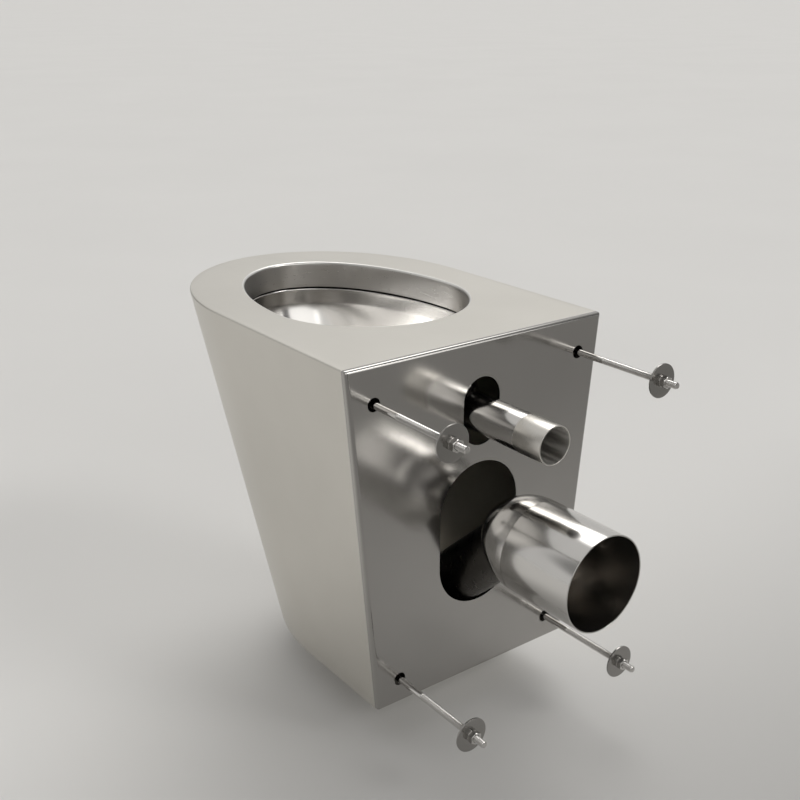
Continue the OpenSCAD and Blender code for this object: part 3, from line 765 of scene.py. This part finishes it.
# Lit panels: azimuth, elevation, half-angles inside and outside the soft edge, strength. One
# with a strength below nothing is a dark flag, which takes light away.
PANELS = [
    (-136, 54, 10, 24, 3.2),
    (76, 19, 22, 28, 1.25),
    (118, 39, 5, 12, 6.0),
    (129, 32, 7, 11, 1.7),
    (126, 13, 8, 11, 1.8),
    (44, 19, 8, 14, 0.65),
    (-84, 10, 9, 20, -0.5),
    (-22, 33, 8, 20, -0.4),
]


def plain_floor():
    """Pale matt floor, wide enough to fill the view. A cloudy tone, and a smooth step in y to a
    grey: painted shade, which stands in for light falling off on the wall's side."""
    mat = bpy.data.materials.new("matt_pale_floor_paint")
    mat.use_nodes = True
    tree = mat.node_tree
    tree.nodes.clear()
    place = add(tree, "ShaderNodeTexCoord")
    cloud = add(tree, "ShaderNodeTexNoise", {"Vector": (place, "Object"), "Scale": 1.5,
                                             "Detail": 3.0})
    share = add(tree, "ShaderNodeMapRange", {"Value": (cloud, "Fac"), "From Min": 0.3,
                                             "From Max": 0.7})
    tone = add(tree, "ShaderNodeMix", {"Factor": (share, "Result"), "A": linear("#DCDBD9"),
                                       "B": linear("#DEDDDB")}, data_type="RGBA")
    parts = add(tree, "ShaderNodeSeparateXYZ", {"Vector": (place, "Object")})
    far = add(tree, "ShaderNodeMapRange", {"Value": (parts, "Y"), "From Min": FLOOR_TURN[0],
                                           "From Max": FLOOR_TURN[1]},
              interpolation_type="SMOOTHSTEP")
    # Painted shade: the floor turns grey on the wall's side
    paint = add(tree, "ShaderNodeMix", {"Factor": (far, "Result"), "A": (tone, "Result"),
                                        "B": linear("#A09F9D")}, data_type="RGBA")
    shader = add(tree, "ShaderNodeBsdfPrincipled", {
        "Base Color": (paint, "Result"), "Roughness": 0.8, "Specular IOR Level": 0.2})
    add(tree, "ShaderNodeOutputMaterial", {"Surface": (shader, "BSDF")})
    mesh = bpy.data.meshes.new("floor")
    half, z = FLOOR_HALF, FLOOR_Z
    mesh.from_pydata([(-half, -half, z), (half, -half, z), (half, half, z), (-half, half, z)],
                     [], [(0, 1, 2, 3)])
    mesh.materials.append(mat)
    obj = bpy.data.objects.new("floor", mesh)
    bpy.context.scene.collection.objects.link(obj)


def toward(azimuth, elevation):
    """Unit vector in the world: azimuth from +X to +Y, and elevation, in degrees."""
    a, e = math.radians(azimuth), math.radians(elevation)
    return (math.cos(a) * math.cos(e), math.sin(a) * math.cos(e), math.sin(e))


def soft_world():
    """Surroundings of a studio: an even shade with soft-edged lit panels, far away. Each panel's
    strength follows the cosine between the direction and the panel's middle by a smooth step."""
    world = bpy.data.worlds.new("studio")
    world.use_nodes = True
    tree = world.node_tree
    tree.nodes.clear()
    view = add(tree, "ShaderNodeTexCoord")
    parts = add(tree, "ShaderNodeSeparateXYZ", {"Vector": (view, "Generated")})
    shade = add(tree, "ShaderNodeMapRange", {"Value": (parts, "Y"), "From Min": SHADE_TURN[0],
                                             "From Max": SHADE_TURN[1], "To Min": SHADE[0],
                                             "To Max": SHADE[1]},
                interpolation_type="SMOOTHSTEP")
    total = (shade, "Result")
    for azimuth, elevation, inner, outer, strength in PANELS:
        along = add(tree, "ShaderNodeVectorMath", {0: (view, "Generated"),
                                                   1: toward(azimuth, elevation)},
                    operation="DOT_PRODUCT")
        lit = add(tree, "ShaderNodeMapRange", {"Value": (along, "Value"),
                                               "From Min": math.cos(math.radians(outer)),
                                               "From Max": math.cos(math.radians(inner)),
                                               "To Min": 0.0, "To Max": strength},
                  interpolation_type="SMOOTHSTEP")
        total = (add(tree, "ShaderNodeMath", {0: total, 1: (lit, "Result")}, operation="ADD"),
                 "Value")
    # Down at the horizon the surroundings are as plain and pale as the floor that meets them
    haze = add(tree, "ShaderNodeMapRange", {"Value": (parts, "Y"), "From Min": HAZE_TURN[0],
                                            "From Max": HAZE_TURN[1], "To Min": HAZE[0],
                                            "To Max": HAZE[1]},
               interpolation_type="SMOOTHSTEP")
    raised = add(tree, "ShaderNodeMapRange", {"Value": (parts, "Z"),
                                              "From Min": HAZE_CLEARS[0],
                                              "From Max": HAZE_CLEARS[1]},
                 interpolation_type="SMOOTHSTEP")
    mixed = add(tree, "ShaderNodeMix", {"Factor": (raised, "Result"), "A": (haze, "Result"),
                                        "B": total}, data_type="FLOAT")
    back = add(tree, "ShaderNodeBackground", {"Color": linear("#FCFBF9"),
                                              "Strength": (mixed, "Result")})
    add(tree, "ShaderNodeOutputWorld", {"Surface": (back, "Background")})
    bpy.context.scene.world = world


plain_floor()
soft_world()

bpy.context.scene.view_settings.view_transform = "Standard"
